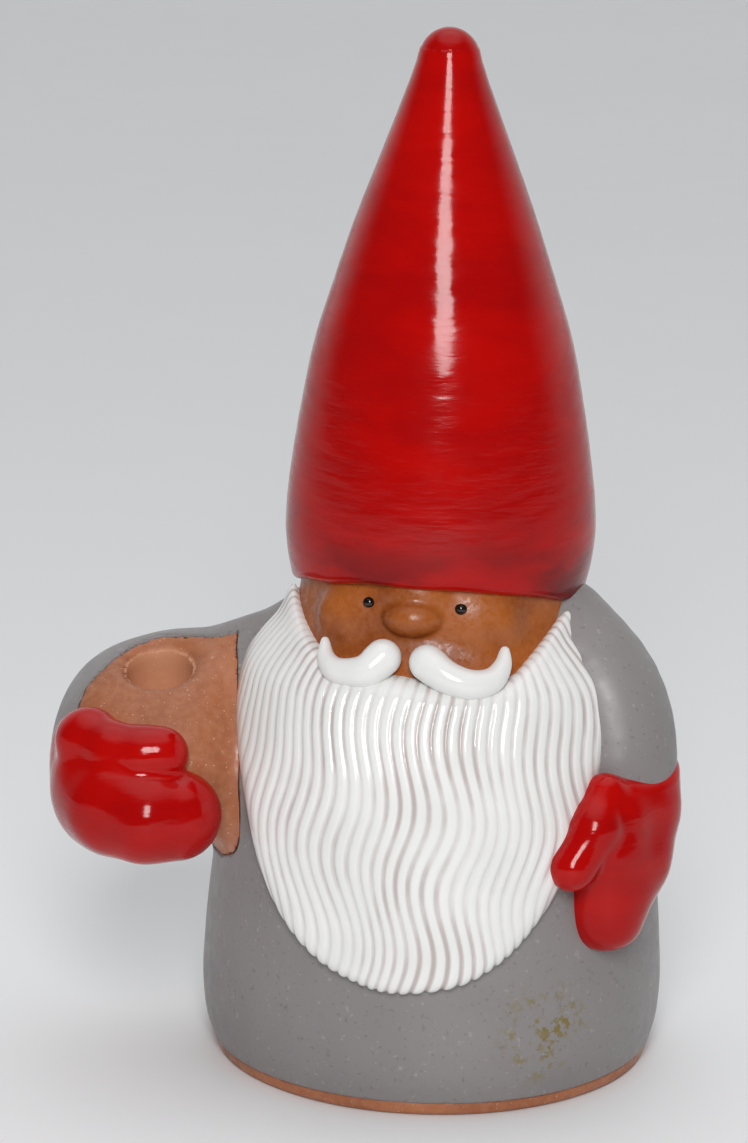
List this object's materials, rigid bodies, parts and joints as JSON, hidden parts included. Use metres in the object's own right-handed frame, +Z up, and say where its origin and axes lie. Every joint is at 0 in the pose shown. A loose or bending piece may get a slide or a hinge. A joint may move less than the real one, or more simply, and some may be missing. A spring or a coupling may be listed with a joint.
{
  "type": "ceramic gnome candle holder",
  "caption": "Ceramic tomte gnome figurine with a tall red hat, combed white beard and grey coat, holding a round candle socket in the crook of one arm.",
  "frame": {"origin": "centre of the foot, on the surface that the figure stands on", "axes": "+Z up along the body's turning axis; the figure faces -Y; +X is the figure's left side"},
  "size_m": [0.1284, 0.0958, 0.2078],
  "materials": {
    "red_glaze": "glossy red glaze",
    "grey_glaze": "satin grey glaze",
    "white_glaze": "thick glossy white glaze",
    "brown_wash": "brown oxide wash on bare clay, slight sheen",
    "bare_clay": "bare fired clay",
    "black_glaze": "glossy black dots"
  },
  "bodies": {
    "root": {"body_shell": "grey_glaze", "foot_ring": "bare_clay", "face": "brown_wash", "nose": "brown_wash", "eye_left": "black_glaze", "eye_right": "black_glaze", "moustache_left": "white_glaze", "moustache_right": "white_glaze", "beard": "white_glaze", "hat": "red_glaze", "right_sleeve": "grey_glaze", "candle_block": "bare_clay", "right_mitten": "red_glaze", "right_thumb": "red_glaze", "left_sleeve": "grey_glaze", "left_mitten": "red_glaze", "left_thumb": "red_glaze"}
  },
  "joints": []
}
